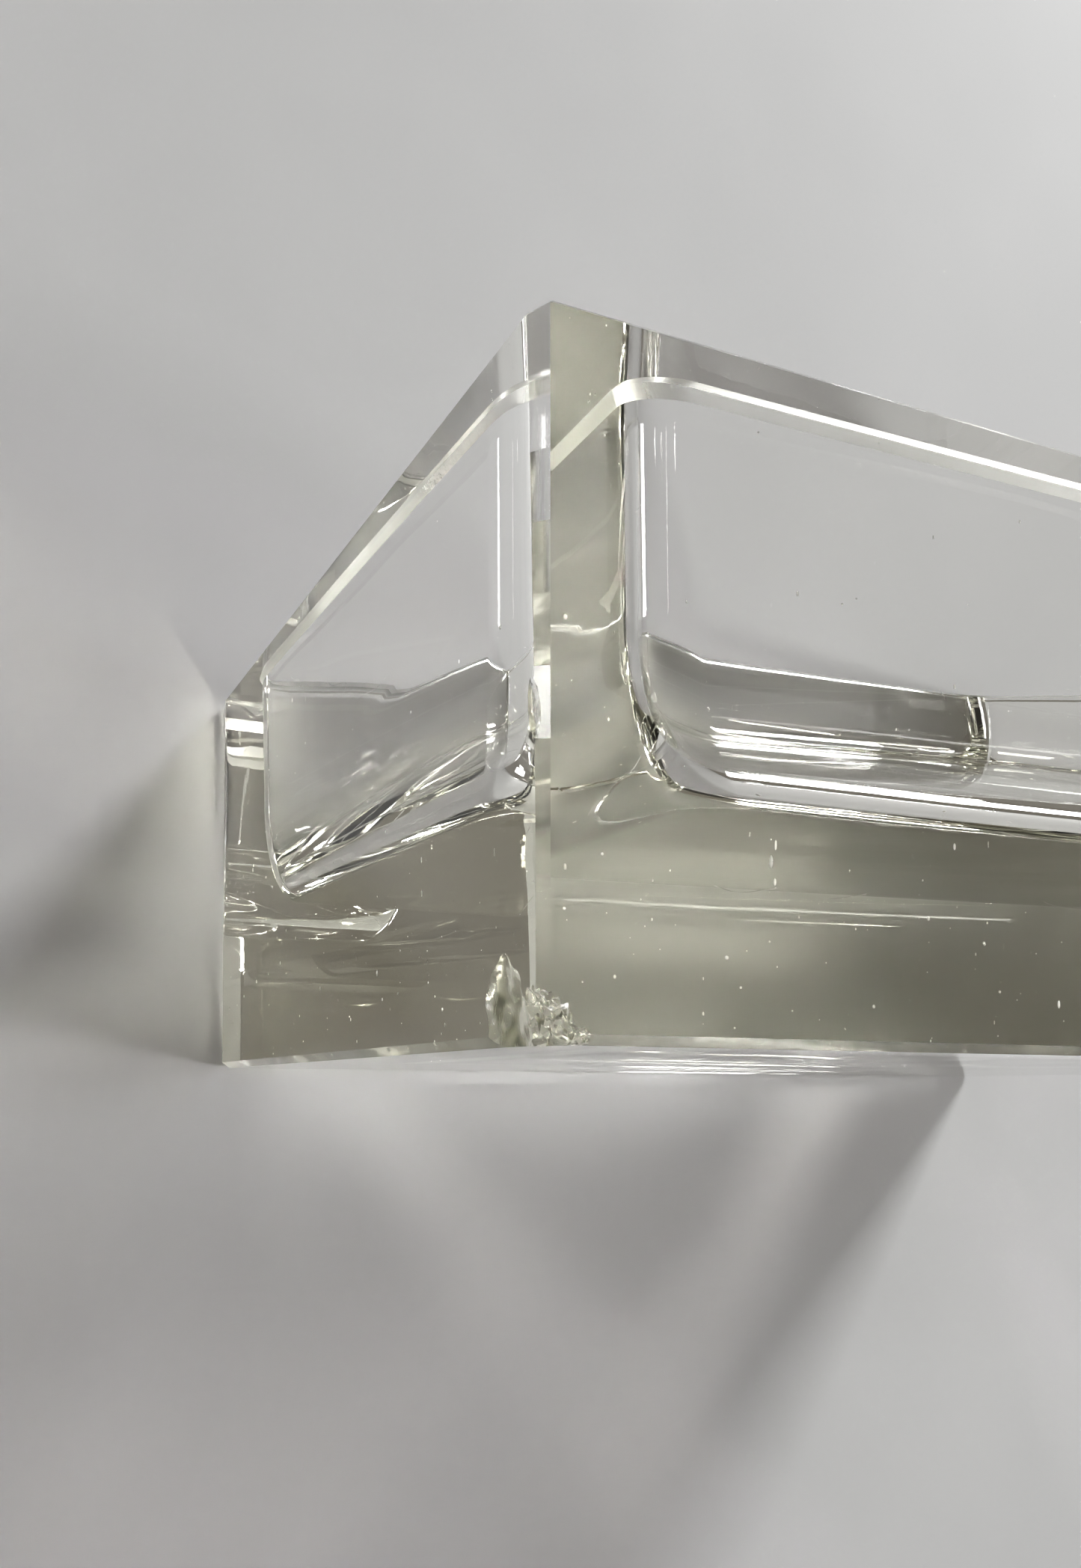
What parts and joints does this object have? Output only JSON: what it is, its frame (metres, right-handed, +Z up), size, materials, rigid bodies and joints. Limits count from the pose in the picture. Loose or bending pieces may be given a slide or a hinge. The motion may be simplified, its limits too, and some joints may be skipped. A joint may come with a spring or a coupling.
{
  "type": "block vessel",
  "caption": "Thick-walled clear oblong block with a round-cornered hollow, standing on a long side wall as an open-fronted display case.",
  "frame": {"origin": "middle of the footprint, on the surface that the vessel stands on", "axes": "+Z up; the mouth of the hollow opens towards -Y; the thick closed base faces +Y; +X to the right seen from the mouth"},
  "size_m": [0.16, 0.06, 0.12],
  "materials": {
    "clear_block": "polished flat outside, fire-polished hollow, ground bevels, faint olive tint in thick sections"
  },
  "bodies": {
    "root": {"block_vessel": "clear_block"}
  },
  "joints": []
}
